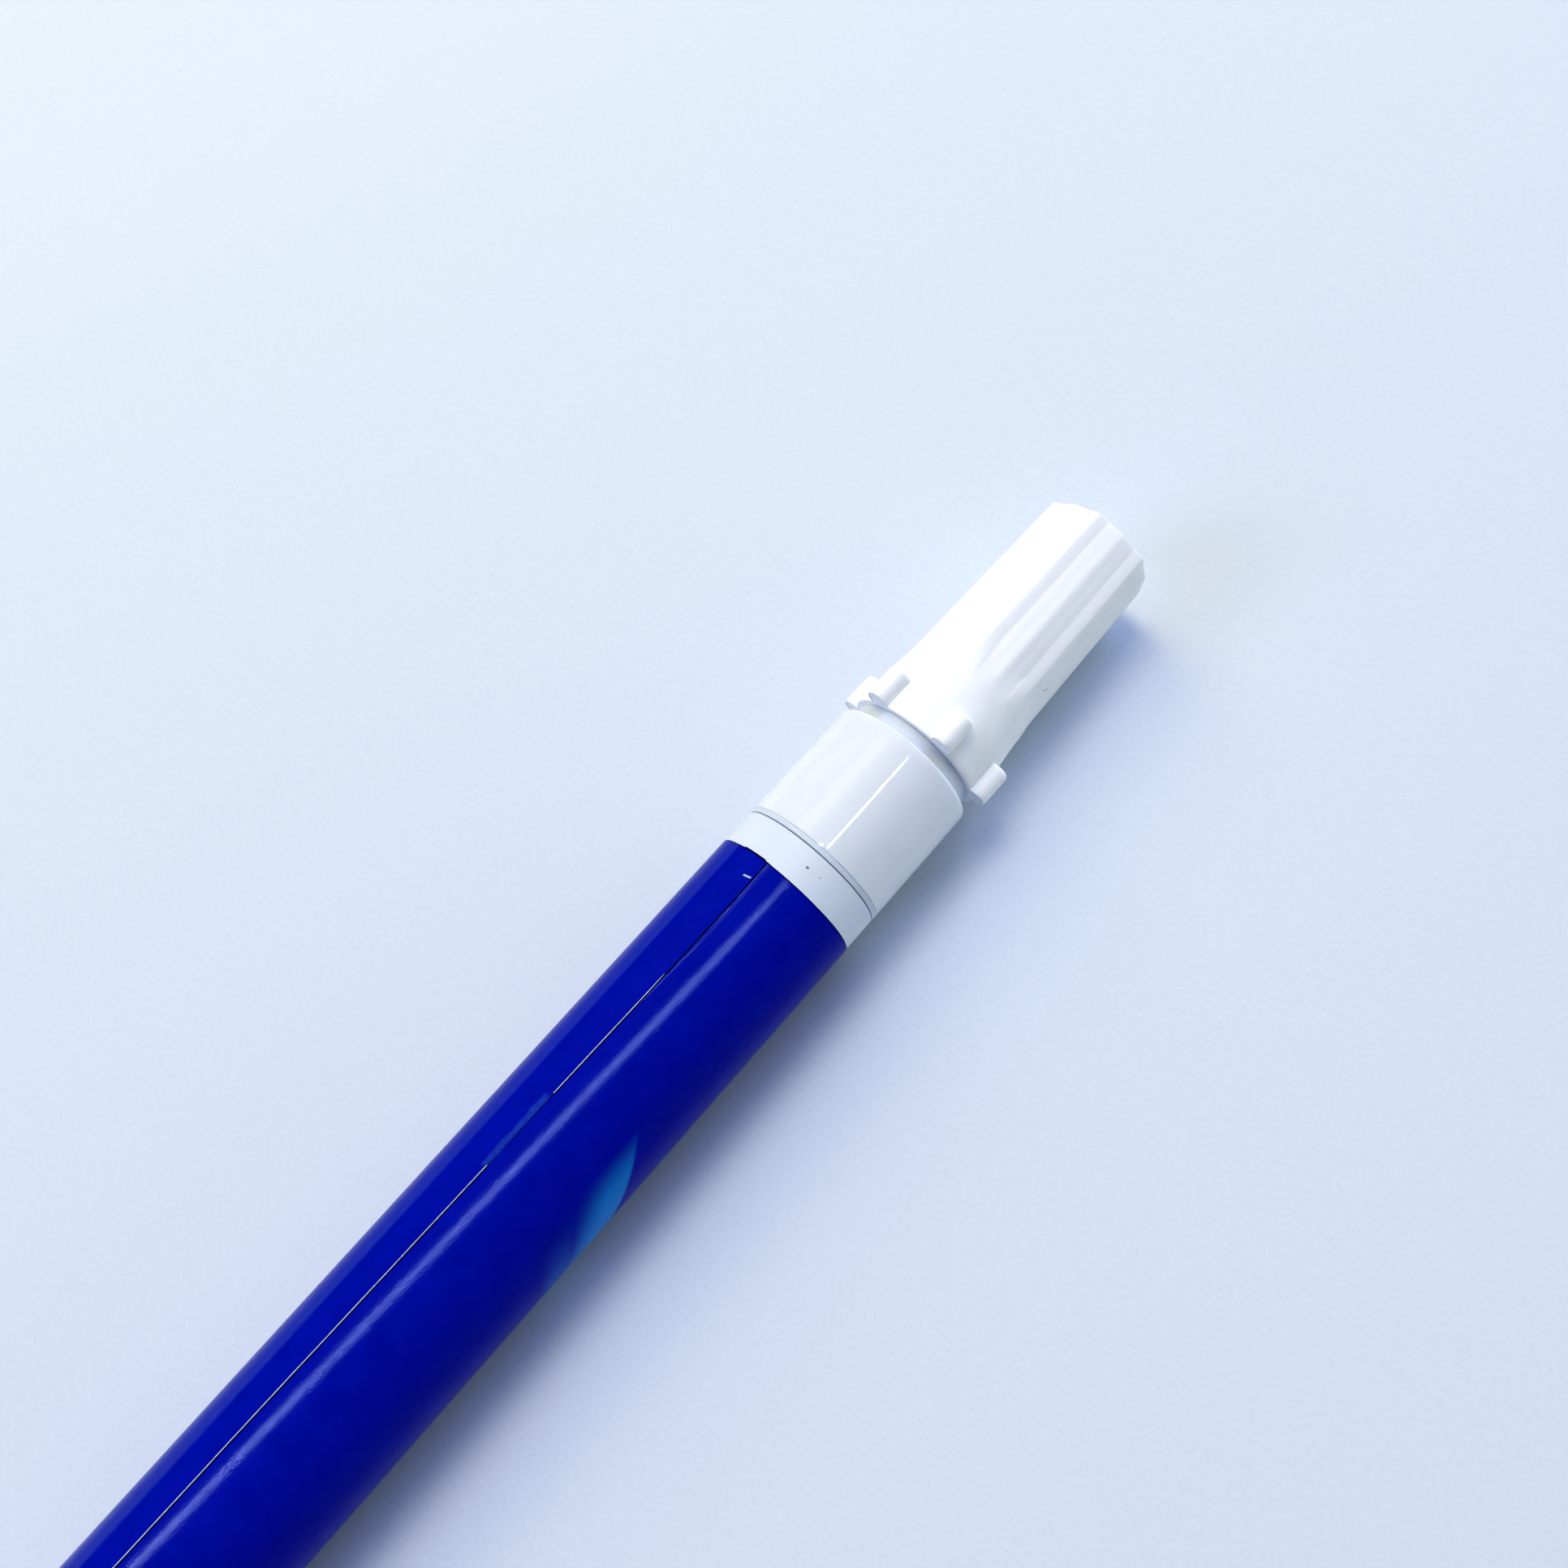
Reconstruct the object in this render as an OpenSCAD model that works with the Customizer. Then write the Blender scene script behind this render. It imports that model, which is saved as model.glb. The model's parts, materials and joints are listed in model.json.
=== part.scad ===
// Counterfeit detector pen, cap closed.
// The pen's axis is the X axis: the tail's end face is at x = 0 and the cap's end is at +X.
// +Z is up as the pen lies on a table. Millimetres.

/* [Barrel] */
// Overall length with the cap closed
pen_len = 140; // [136:1:150]
// Outer diameter of the bare tube
tube_d = 14.88; // [14.2:0.02:15.4]
// Inner diameter of the bare tube
tube_bore_d = 13.1; // [12.9:0.1:13.3]
// Thickness of the label film
label_t = 0.06; // [0.05:0.01:0.1]
// Width of the label's lapped seam, in degrees round the barrel
lap_angle = 25; // [12:1:40]
// Where the seam's free edge lies, in degrees from the top towards +Y
seam_angle = 4.5; // [-20:0.5:20]
// Bare tube left showing at each end of the label
collar_len = 3.5; // [2:0.25:4]

/* [Front section] */
// Diameter of the glossy sleeve at its rear rim
sleeve_rear_d = 15; // [14.6:0.02:15.1]
// Diameter of the glossy sleeve at its shoulder
sleeve_front_d = 14.92; // [14.3:0.02:15]
// Gap between the tube's end and the sleeve's rim
rim_gap = 0.65; // [0.3:0.05:0.9]
// Diameter of the step between the tube's end and the sleeve
step_d = 14.76; // [14.2:0.02:14.8]
// Radius of the sleeve's rounded shoulder
shoulder_r = 0.8; // [0.5:0.1:1.2]
// Diameter of the ledge that the closed cap's rim faces
ledge_d = 13; // [12.2:0.1:13.2]
// Diameter of the neck that the cap fits over
neck_d = 11.2; // [11:0.05:11.3]
// Diameter of the bore that holds the reservoir
socket_d = 11.3; // [11.3:0.05:11.5]

/* [Writing system] */
// Diameter of the fibre nib
nib_d = 4.8; // [4.4:0.1:5]
// Length of nib showing past the nose
nib_reach = 4.3; // [3:0.1:4.6]
// Diameter of the fibre reservoir without its film
core_d = 11; // [10:0.1:11]
// Radial thickness of the reservoir's film
film_t = 0.1; // [0.05:0.01:0.12]

/* [Cap] */
// How far round the closed cap sits from having a rib straight up, in degrees
cap_turn = 6; // [-30:1:30]
// Gap between the sleeve's shoulder face and the cap's rim
cap_gap = 1.45; // [1.2:0.05:1.8]
// Outer diameter of the cap at its rim
cap_rim_d = 14; // [13.6:0.1:14.2]
// Outer diameter where the panels begin
cap_waist_d = 13.3; // [12.8:0.1:13.6]
// Outer diameter over the ribs at the closed end
cap_end_d = 12.3; // [11.6:0.1:12.6]
// Depth of the panels at their start
panel_start = 0.3; // [0.2:0.05:0.45]
// Depth of the panels at the closed end
panel_end = 0.55; // [0.4:0.05:0.75]
// Width of each rib between panels
rib_w = 1.1; // [0.8:0.1:1.6]
// Number of lugs, panels and ribs
lug_count = 6; // [5:1:7]
// Width of each anti-roll lug
lug_w = 2.2; // [1.4:0.1:2.4]
// Length of each anti-roll lug
lug_len = 3.6; // [3:0.1:5]
// Radius from the pen's axis to a lug's top
lug_top_r = 8.5; // [7.8:0.1:8.6]

/* [Hidden] */
$fn = 96;

white = [0.95, 0.96, 0.98];
soft_white = [0.90, 0.93, 0.97];
deep_blue = [0.02, 0.05, 0.60];
clear_film = [0.80, 0.84, 0.88];
natural = [0.93, 0.93, 0.90];
fibre = [0.86, 0.84, 0.78];

tube_r = tube_d / 2;
tube_bore_r = tube_bore_d / 2;
label_r = tube_r + label_t;

// stations along the axis, measured from the tail's end face
flange_t = 1.6;
cap_len = 28.1;
rim_x = pen_len - cap_len;
shoulder_x = rim_x - cap_gap;
sleeve_len = 12.7;
sleeve_x = shoulder_x - sleeve_len;
tube_end_x = sleeve_x - rim_gap;
label_end_x = tube_end_x - collar_len;
label_start_x = flange_t + collar_len;
plug_x = tube_end_x - 8;
core_end_x = shoulder_x - 1.45;
core_start_x = 12;
neck_end_x = rim_x + 4.1;
face_x = rim_x + 4.5;
nose_end_x = rim_x + 13.6;
nose_tip_x = rim_x + 14.6;
nib_start_x = core_end_x - 6;
nib_end_x = nose_tip_x + nib_reach;
waist_x = rim_x + 6.7;
liner_x = rim_x + 5;
seat_x = rim_x + 5.5;

nib_r = nib_d / 2;
neck_r = neck_d / 2;
socket_r = socket_d / 2;
core_r = core_d / 2;
film_r = core_r + film_t;

// A solid turned about the pen's axis; the profile's points are [radius, x].
module turned() {
    rotate([0, 90, 0])
        rotate_extrude()
            children();
}

// A ring about the pen's axis, open at both ends.
module ring(r_out, r_in, x0, x1) {
    turned()
        translate([r_in, x0])
            square([r_out - r_in, x1 - x0]);
}

// The straight white tube, open at both ends, with a small break on its outer edges.
module barrel_tube() {
    e = 0.12;
    color(white)
        turned()
            polygon([
                [tube_bore_r, flange_t],
                [tube_r - e, flange_t],
                [tube_r, flange_t + e],
                [tube_r, tube_end_x - e],
                [tube_r - e, tube_end_x],
                [tube_bore_r, tube_end_x]
            ]);
}

// The film goes once round the tube and laps over its own start.
module label_wrap() {
    color(deep_blue)
        union() {
            ring(label_r, tube_r, label_start_x, label_end_x);
            rotate([-seam_angle, 0, 0])
                rotate([0, 90, 0])
                    rotate([0, 0, 180 - lap_angle])
                        rotate_extrude(angle = lap_angle)
                            translate([label_r - label_t / 2, label_start_x])
                                square([label_t * 1.5, label_end_x - label_start_x]);
        }
}

// Closes the tube's rear end: an end disc, a plug wall, and a cross that stops the reservoir.
module tail_plug() {
    edge_r = 0.8;
    wall_end_x = 16;
    floor_x = 3;
    color(white)
        union() {
            turned() {
                translate([0, edge_r])
                    square([tube_r, flange_t - edge_r]);
                square([tube_r - edge_r, flange_t]);
                translate([tube_r - edge_r, edge_r])
                    circle(r = edge_r);
                translate([0, flange_t])
                    square([tube_bore_r, floor_x - flange_t]);
                polygon([
                    [socket_r, floor_x],
                    [tube_bore_r, floor_x],
                    [tube_bore_r, wall_end_x - 0.5],
                    [tube_bore_r - 0.3, wall_end_x],
                    [socket_r, wall_end_x]
                ]);
            }
            for (a = [0, 90])
                rotate([a, 0, 0])
                    translate([floor_x - 0.2, -0.45, -socket_r - 0.2])
                        cube([core_start_x - floor_x + 0.2, 0.9, 2 * socket_r + 0.4]);
        }
}

// Outer profile of the front section, from its plug to the nose tip.
module section_profile() {
    sleeve_rear_r = sleeve_rear_d / 2;
    sleeve_front_r = sleeve_front_d / 2;
    step_r = step_d / 2;
    polygon([
        [0, plug_x],
        [tube_bore_r - 0.3, plug_x],
        [tube_bore_r, plug_x + 0.5],
        [tube_bore_r, tube_end_x],
        [tube_bore_r + 0.25, tube_end_x],
        [tube_bore_r + 0.25, tube_end_x + 0.15],
        [step_r, tube_end_x + 0.15],
        [step_r, sleeve_x],
        [sleeve_rear_r - 0.08, sleeve_x],
        [sleeve_rear_r, sleeve_x + 0.08],
        [sleeve_front_r, shoulder_x - shoulder_r],
        [sleeve_front_r - shoulder_r, shoulder_x - shoulder_r],
        [sleeve_front_r - shoulder_r, shoulder_x],
        [ledge_d / 2, shoulder_x],
        [ledge_d / 2, rim_x - 0.15],
        [neck_r, rim_x - 0.15],
        [neck_r, neck_end_x],
        [neck_r - 0.4, face_x],
        [3.9, face_x],
        [3.65, nose_end_x],
        [3.1, nose_tip_x],
        [0, nose_tip_x]
    ]);
    translate([sleeve_front_r - shoulder_r, shoulder_x - shoulder_r])
        circle(r = shoulder_r);
    translate([neck_r - 0.1, rim_x + 1.3])
        square([0.22, 0.9]);
}

// Plugs into the tube, holds the reservoir's front end, and grips the nib in its nose.
module front_section() {
    chamber_r = 4.3;
    nib_grip_x = face_x - 1;
    color(white)
        difference() {
            union() {
                difference() {
                    turned()
                        section_profile();
                    turned()
                        translate([0, plug_x - 1])
                            square([socket_r, core_end_x - plug_x + 1]);
                    turned()
                        translate([0, core_end_x - 0.5])
                            square([chamber_r, nib_grip_x - core_end_x + 0.5]);
                }
                for (a = [0, 90])
                    rotate([a, 0, 0])
                        translate([core_end_x + 0.6, -0.4, -chamber_r - 0.2])
                            cube([nib_grip_x - core_end_x, 0.8, 2 * chamber_r + 0.4]);
            }
            turned()
                translate([0, core_end_x - 0.5])
                    square([nib_r, nose_tip_x - core_end_x + 1]);
            for (a = [45 : 90 : 315])
                rotate([a, 0, 0])
                    translate([nib_grip_x - 0.5, 0, nib_r])
                        rotate([0, 90, 0])
                            cylinder(r = 0.35, h = nose_tip_x - nib_grip_x + 1, $fn = 24);
        }
}

// Outline of the nib: a tapered rear end, a straight stem and a bullet tip.
module nib_profile() {
    polygon([
        [0, nib_start_x],
        [nib_r - 0.8, nib_start_x],
        [nib_r, nib_start_x + 1],
        [nib_r, nib_end_x - 2.9],
        [nib_r * 0.93, nib_end_x - 2.2],
        [nib_r * 0.78, nib_end_x - 1.4],
        [nib_r * 0.55, nib_end_x - 0.7],
        [nib_r * 0.30, nib_end_x - 0.2],
        [nib_r * 0.10, nib_end_x],
        [0, nib_end_x]
    ]);
}

// Bonded fibre tip; its rear end sits in the reservoir.
module nib() {
    color(fibre)
        turned()
            nib_profile();
}

// Rod of loose fibre that holds the iodine solution.
module reservoir_core() {
    color(natural)
        difference() {
            turned()
                translate([0, core_start_x])
                    square([core_r, core_end_x - core_start_x]);
            turned()
                nib_profile();
        }
}

// Thin film round the fibre rod, open at both ends.
module reservoir_film() {
    color(clear_film)
        ring(film_r, core_r, core_start_x, core_end_x);
}

// Radius of the cap over its ribs at a station along the axis.
function rib_top_r(x) =
    cap_waist_d / 2 + (cap_end_d - cap_waist_d) / 2 * (x - waist_x) / (pen_len - waist_x);

// One anti-roll lug, on the top of the pen: straight sides, a round top and an eased far end.
module lug() {
    r = lug_w / 2;
    ease = 0.35;
    mid_r = lug_top_r - r;
    translate([rim_x, 0, mid_r])
        rotate([0, 90, 0]) {
            cylinder(r = r, h = lug_len - ease);
            translate([0, 0, lug_len - ease])
                cylinder(r1 = r, r2 = r - ease, h = ease);
        }
    translate([rim_x, -r, cap_rim_d / 2 - 0.8])
        cube([lug_len - ease, 2 * r, mid_r - cap_rim_d / 2 + 0.8]);
}

// The cap's outer body: a flared rim with lugs, then ribs with recessed panels between them.
module cap_body() {
    ease = 0.4;
    rim_r = cap_rim_d / 2;
    waist_r = cap_waist_d / 2;
    end_r = cap_end_d / 2;
    floor_0 = rib_top_r(waist_x + 0.6) - panel_start;
    floor_1 = end_r - panel_end;
    turned()
        polygon([
            [0, rim_x],
            [rim_r - 0.15, rim_x],
            [rim_r, rim_x + 0.15],
            [waist_r, waist_x],
            [floor_0, waist_x + 0.6],
            [floor_1, pen_len - ease],
            [floor_1 - ease, pen_len],
            [0, pen_len]
        ]);
    intersection() {
        turned()
            polygon([
                [0, waist_x - 1],
                [waist_r, waist_x - 1],
                [waist_r, waist_x],
                [end_r, pen_len - ease],
                [end_r - ease, pen_len],
                [0, pen_len]
            ]);
        for (i = [0 : lug_count - 1])
            rotate([i * 360 / lug_count, 0, 0])
                translate([waist_x - 1, -rib_w / 2, 3])
                    cube([pen_len, rib_w, 6]);
    }
    for (i = [0 : lug_count - 1])
        rotate([(i + 0.5) * 360 / lug_count, 0, 0])
            lug();
}

// Radius of the tapered seat that the liner and the cap share.
function seat_r(x) = 4.9 - 0.55 * (x - seat_x) / (pen_len - 1.2 - seat_x);

// Closed cap with six anti-roll lugs round its open rim.
module cap_shell() {
    bore_r = neck_r + 0.15;
    color(soft_white)
        difference() {
            rotate([cap_turn, 0, 0])
                cap_body();
            turned()
                polygon([
                    [0, rim_x - 1],
                    [bore_r + 0.3, rim_x - 1],
                    [bore_r + 0.3, rim_x],
                    [bore_r, rim_x + 0.3],
                    [bore_r, seat_x],
                    [seat_r(seat_x), seat_x],
                    [seat_r(pen_len - 1.2), pen_len - 1.2],
                    [0, pen_len - 1.2]
                ]);
        }
}

// Liner pressed into the cap; it closes round the nose and keeps the nib wet.
module inner_cap() {
    end_x = pen_len - 2.2;
    color(natural)
        turned()
            polygon([
                [3.97, liner_x],
                [neck_r + 0.1, liner_x],
                [neck_r + 0.1, seat_x],
                [seat_r(seat_x), seat_x],
                [seat_r(end_x), end_x],
                [0, end_x],
                [0, end_x - 1],
                [3.72, end_x - 1],
                [3.72, nose_end_x + 0.5]
            ]);
}

barrel_tube();
label_wrap();
tail_plug();
front_section();
reservoir_core();
reservoir_film();
nib();
cap_shell();
inner_cap();
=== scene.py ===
"""Looks of the counterfeit detector pen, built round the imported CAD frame. Metres; X is the pen's axis."""
import json
import math
import bmesh
import bpy
import numpy as np
from mathutils import Matrix, Vector

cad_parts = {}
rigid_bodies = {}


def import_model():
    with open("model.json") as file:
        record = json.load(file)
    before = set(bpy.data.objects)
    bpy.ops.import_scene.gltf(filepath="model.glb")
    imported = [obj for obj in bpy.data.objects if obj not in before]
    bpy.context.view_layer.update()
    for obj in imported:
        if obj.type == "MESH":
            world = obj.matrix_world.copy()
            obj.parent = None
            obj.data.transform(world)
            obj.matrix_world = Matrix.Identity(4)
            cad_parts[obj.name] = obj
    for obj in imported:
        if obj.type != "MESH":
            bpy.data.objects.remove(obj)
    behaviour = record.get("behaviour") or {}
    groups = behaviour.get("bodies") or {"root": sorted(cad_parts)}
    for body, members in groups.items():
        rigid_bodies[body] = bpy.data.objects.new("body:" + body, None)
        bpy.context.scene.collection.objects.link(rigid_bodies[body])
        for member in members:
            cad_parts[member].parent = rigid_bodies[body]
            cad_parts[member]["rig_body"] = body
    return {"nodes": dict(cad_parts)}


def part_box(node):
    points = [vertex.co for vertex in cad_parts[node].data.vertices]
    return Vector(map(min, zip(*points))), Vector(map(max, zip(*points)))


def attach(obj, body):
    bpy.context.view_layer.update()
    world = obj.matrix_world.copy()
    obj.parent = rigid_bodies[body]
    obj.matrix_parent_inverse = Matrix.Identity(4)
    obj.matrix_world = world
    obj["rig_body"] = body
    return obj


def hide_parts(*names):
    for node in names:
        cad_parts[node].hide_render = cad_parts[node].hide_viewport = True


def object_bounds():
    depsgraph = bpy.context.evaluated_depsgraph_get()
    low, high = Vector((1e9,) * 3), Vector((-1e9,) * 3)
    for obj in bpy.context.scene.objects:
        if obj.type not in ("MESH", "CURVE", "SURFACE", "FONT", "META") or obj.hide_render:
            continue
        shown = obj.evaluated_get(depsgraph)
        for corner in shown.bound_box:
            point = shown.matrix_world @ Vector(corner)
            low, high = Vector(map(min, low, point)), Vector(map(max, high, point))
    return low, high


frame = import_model()
cad_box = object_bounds()

MM = 0.001


def corners(node):
    """A CAD node's lowest and highest corners at rest, in mm."""
    return [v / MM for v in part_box(node)]


# stations along the axis and radii, in mm, from the CAD boxes
TUBE_LO, TUBE_HI = corners("barrel_tube")
LABEL_LO, LABEL_HI = corners("label_wrap")
CAP_LO, CAP_HI = corners("cap_shell")
LINER_LO, LINER_HI = corners("inner_cap")
NIB_LO, NIB_HI = corners("nib")
NOSE_X = corners("front_section")[1].x
TUBE_X0, TUBE_X1 = TUBE_LO.x, TUBE_HI.x
TUBE_R = TUBE_HI.y
LABEL_X0, LABEL_X1 = LABEL_LO.x, LABEL_HI.x
LABEL_R = -LABEL_LO.z
NIB_R = NIB_HI.y
RIM_X, CAP_END_X = CAP_LO.x, CAP_HI.x
LUG_END_X = RIM_X + 3.6
FLOOR_Z = cad_box[0].z  # m

# the rest repeats part.scad or was read off the photo, in mm
SHOULDER_X = RIM_X - 1.45    # where the glossy sleeve ends in its shoulder
SLEEVE_X = TUBE_X1 + 0.65    # where the glossy sleeve starts, past the step
TUBE_BORE_R = 6.55
PLUG_BORE_R = 5.65           # inside the tail plug and the rear of the front section
STEP_R = 7.44                # the narrow step between the tube and the sleeve
SLEEVE_REAR_R, SLEEVE_FRONT_R = 7.5, 7.46
LEDGE_R = 6.5                # the bottom of the groove before the cap
NECK_R = 5.6                 # the neck under the cap
NOSE_BORE_R = 2.42           # round the nib
HAZE_X0, HAZE_X1 = 58.7, 66.3  # the hazy patch along the seam, where the cut shows no white edge
CAP_TURN = 6.0               # how far the cap sits from having a rib straight up, degrees


# ---------------------------------------------------------------- mesh helpers

def fillet(points, steps=6):
    """Rounds a profile's corners. points: (x, r, corner radius or 0); returns (x, r) pairs."""
    out = []
    n = len(points)
    for i, (x, r, rad) in enumerate(points):
        p = np.array([x, r], float)
        if rad <= 0 or i in (0, n - 1):
            out.append(tuple(p))
            continue
        a = np.array(points[i - 1][:2], float) - p
        b = np.array(points[i + 1][:2], float) - p
        la, lb = np.linalg.norm(a), np.linalg.norm(b)
        a, b = a / la, b / lb
        half = math.acos(max(-1.0, min(1.0, float(a @ b)))) / 2
        cut = min(rad / math.tan(half), 0.49 * la, 0.49 * lb)
        rad = cut * math.tan(half)
        mid = (a + b) / np.linalg.norm(a + b)
        c = p + mid * rad / math.sin(half)
        s, e = p + a * cut - c, p + b * cut - c
        sweep = math.acos(max(-1.0, min(1.0, float(s @ e) / rad / rad)))
        sign = 1 if s[0] * e[1] - s[1] * e[0] > 0 else -1
        for k in range(steps + 1):
            t = sign * sweep * k / steps
            out.append((c[0] + s[0] * math.cos(t) - s[1] * math.sin(t),
                        c[1] + s[0] * math.sin(t) + s[1] * math.cos(t)))
    return out


def point(x, r, phi):
    """A place in metres. x and r in mm; phi in radians from +Z towards -Y."""
    return (x * MM, -r * math.sin(phi) * MM, r * math.cos(phi) * MM)


def build(name, verts, faces, materials, face_mat=None, sharp=35.0, weld=True):
    """A smooth-shaded object from a face list; edges turned by more than sharp degrees stay crisp."""
    me = bpy.data.meshes.new(name)
    me.from_pydata(verts, [], faces)
    for m in materials:
        me.materials.append(m)
    if face_mat is not None:
        me.polygons.foreach_set("material_index", face_mat)
    bm = bmesh.new()
    bm.from_mesh(me)
    if weld:
        bmesh.ops.remove_doubles(bm, verts=bm.verts, dist=1e-7)
    bmesh.ops.recalc_face_normals(bm, faces=bm.faces)
    limit = math.radians(sharp)
    for f in bm.faces:
        f.smooth = True
    for e in bm.edges:
        if len(e.link_faces) == 2 and e.calc_face_angle(0) > limit:
            e.smooth = False
    bm.to_mesh(me)
    bm.free()
    ob = bpy.data.objects.new(name, me)
    bpy.context.scene.collection.objects.link(ob)
    return ob


def turned(name, profile, materials, segments=192, closed=True, radius=None, mat_of=None, sharp=35.0):
    """A solid turned about X. profile: (x, r) pairs; r <= 0 at an end makes a pole; closed joins last to first.
    radius(x, r, phi) may change a radius round the turn; mat_of(x, r) gives the material of the band from there."""
    verts, rings = [], []
    for x, r in profile:
        if r <= 1e-6:
            rings.append([len(verts)])
            verts.append(point(x, 0, 0))
        else:
            ring = []
            for j in range(segments):
                phi = 2 * math.pi * j / segments
                rr = radius(x, r, phi) if radius else r
                ring.append(len(verts))
                verts.append(point(x, rr, phi))
            rings.append(ring)
    faces, mats = [], []
    pairs = list(zip(range(len(rings) - 1), range(1, len(rings))))
    if closed:
        pairs.append((len(rings) - 1, 0))
    for a, b in pairs:
        ra, rb = rings[a], rings[b]
        mi = mat_of(*profile[a]) if mat_of else 0
        for j in range(segments):
            k = (j + 1) % segments
            if len(ra) == 1 and len(rb) == 1:
                continue
            if len(ra) == 1:
                faces.append((ra[0], rb[k], rb[j]))
            elif len(rb) == 1:
                faces.append((ra[j], ra[k], rb[0]))
            else:
                faces.append((ra[j], ra[k], rb[k], rb[j]))
            mats.append(mi)
    return build(name, verts, faces, materials, mats, sharp)


def smoothstep(a, b, x):
    """0 below a, 1 above b, with a soft rise between."""
    t = np.clip((x - a) / (b - a), 0, 1)
    return t * t * (3 - 2 * t)


def smooth_max(a, b, k):
    """The larger of a and b, blended where they are within k of each other."""
    h = np.clip(0.5 + 0.5 * (a - b) / k, 0, 1)
    return b + (a - b) * h + k * h * (1 - h)


# ---------------------------------------------------------------- materials

class Nodes:
    """Short calls for building a shader tree."""

    def __init__(self, name):
        self.m = bpy.data.materials.new(name)
        self.m.use_nodes = True
        self.t = self.m.node_tree
        self.bsdf = next(n for n in self.t.nodes if n.type == "BSDF_PRINCIPLED")
        self.coord = self.t.nodes.new("ShaderNodeTexCoord").outputs["Object"]

    def put(self, node, socket, value):
        s = node.inputs[socket]
        if isinstance(value, bpy.types.NodeSocket):
            self.t.links.new(value, s)
        else:
            s.default_value = value

    def node(self, kind, **inputs):
        n = self.t.nodes.new(kind)
        for k, v in inputs.items():
            self.put(n, k.replace("_", " "), v)
        return n

    def scaled(self, scale):
        """Object coordinates, stretched by (x, y, z)."""
        n = self.t.nodes.new("ShaderNodeMapping")
        self.put(n, "Vector", self.coord)
        n.inputs["Scale"].default_value = scale
        return n.outputs["Vector"]

    def noise(self, scale, detail=2.0, rough=0.5, vector=None):
        n = self.t.nodes.new("ShaderNodeTexNoise")
        self.put(n, "Vector", vector or self.coord)
        n.inputs["Scale"].default_value = scale
        n.inputs["Detail"].default_value = detail
        n.inputs["Roughness"].default_value = rough
        return n.outputs["Fac"]

    def math(self, op, a, b=0.0, c=None):
        n = self.t.nodes.new("ShaderNodeMath")
        n.operation = op
        self.put(n, 0, a)
        self.put(n, 1, b)
        if c is not None:
            self.put(n, 2, c)
        return n.outputs[0]

    def ramp(self, value, lo, hi, out_lo=0.0, out_hi=1.0, smooth=False):
        n = self.t.nodes.new("ShaderNodeMapRange")
        n.clamp = True
        n.interpolation_type = "SMOOTHSTEP" if smooth else "LINEAR"
        for k, v in zip(("Value", "From Min", "From Max", "To Min", "To Max"), (value, lo, hi, out_lo, out_hi)):
            self.put(n, k, v)
        return n.outputs["Result"]

    def band(self, value, lo, hi, soft):
        """1 between lo and hi, with soft ends."""
        h = soft / 2
        return self.math("MULTIPLY", self.ramp(value, lo - h, lo + h), self.ramp(value, hi - h, hi + h, 1.0, 0.0))

    def all_of(self, first, *others):
        for o in others:
            first = self.math("MULTIPLY", first, o)
        return first

    def mix(self, fac, a, b):
        """Colour a where fac is 0, b where it is 1; each a colour or a socket."""
        n = self.t.nodes.new("ShaderNodeMix")
        n.data_type = "RGBA"
        self.put(n, 0, fac)
        for idx, v in ((6, a), (7, b)):
            if isinstance(v, bpy.types.NodeSocket):
                self.t.links.new(v, n.inputs[idx])
            else:
                n.inputs[idx].default_value = (*v, 1.0)
        return n.outputs[2]

    def bump(self, height, strength, distance, normal=None):
        n = self.t.nodes.new("ShaderNodeBump")
        n.inputs["Strength"].default_value = strength
        n.inputs["Distance"].default_value = distance
        self.put(n, "Height", height)
        if normal is not None:
            self.put(n, "Normal", normal)
        return n.outputs["Normal"]

    def set(self, **sockets):
        """Sets or links the shader's own sockets, and gives back the material."""
        for k, v in sockets.items():
            k = k.replace("_", " ")
            if isinstance(v, tuple) and len(v) == 3 and self.bsdf.inputs[k].type == "RGBA":
                v = (*v, 1.0)
            self.put(self.bsdf, k, v)
        return self.m

    def polar(self):
        """(x in mm, phi in degrees from +Z towards -Y) of the shading point, from the pen's own coordinates."""
        sep = self.node("ShaderNodeSeparateXYZ", Vector=self.coord)
        x = self.math("MULTIPLY", sep.outputs["X"], 1000.0)
        ang = self.math("ARCTAN2", self.math("MULTIPLY", sep.outputs["Y"], -1.0), sep.outputs["Z"])
        return x, self.math("MULTIPLY", ang, 180.0 / math.pi)


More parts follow.
